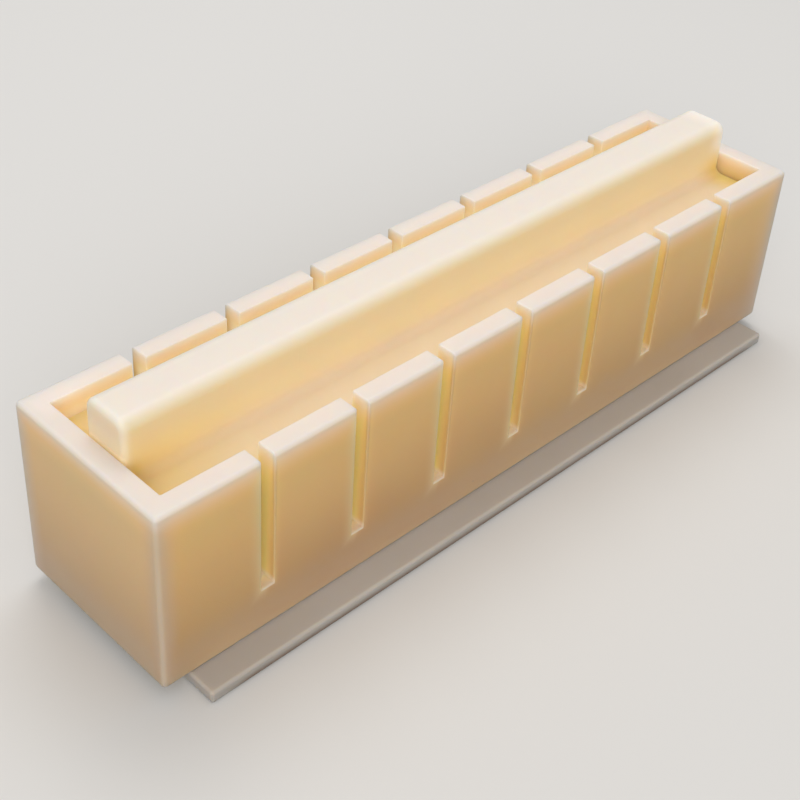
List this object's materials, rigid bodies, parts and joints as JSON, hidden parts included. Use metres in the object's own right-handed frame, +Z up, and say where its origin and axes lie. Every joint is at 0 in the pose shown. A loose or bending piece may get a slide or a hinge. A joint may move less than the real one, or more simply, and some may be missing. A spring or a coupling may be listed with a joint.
{
  "type": "sushi rice mold press",
  "caption": "Long pressed-sushi mould: a slotted rectangular frame over a stepped base, with a lift-out press plate that has a full-length grip rib.",
  "frame": {"origin": "on the surface the base stands on, under the middle of the frame", "axes": "+X along the mould, +Y across it, +Z up"},
  "size_m": [0.22, 0.065, 0.0619],
  "materials": {
    "frame_plastic": "ivory polyethylene, satin, slightly translucent",
    "press_plastic": "ivory polyethylene, satin, slightly translucent",
    "base_plastic": "ivory polyethylene, satin, slightly translucent"
  },
  "bodies": {
    "base": {"base_plate": "base_plastic"},
    "frame": {"mold_frame": "frame_plastic"},
    "press": {"press": "press_plastic"}
  },
  "joints": [
    {"name": "frame_lift", "type": "slide", "parent": "base", "child": "frame", "axis": [0, 0, 1], "range_m": [0, 0.04]},
    {"name": "press_travel", "type": "slide", "parent": "frame", "child": "press", "axis": [0, 0, 1], "range_m": [-0.0255, 0.03]}
  ]
}
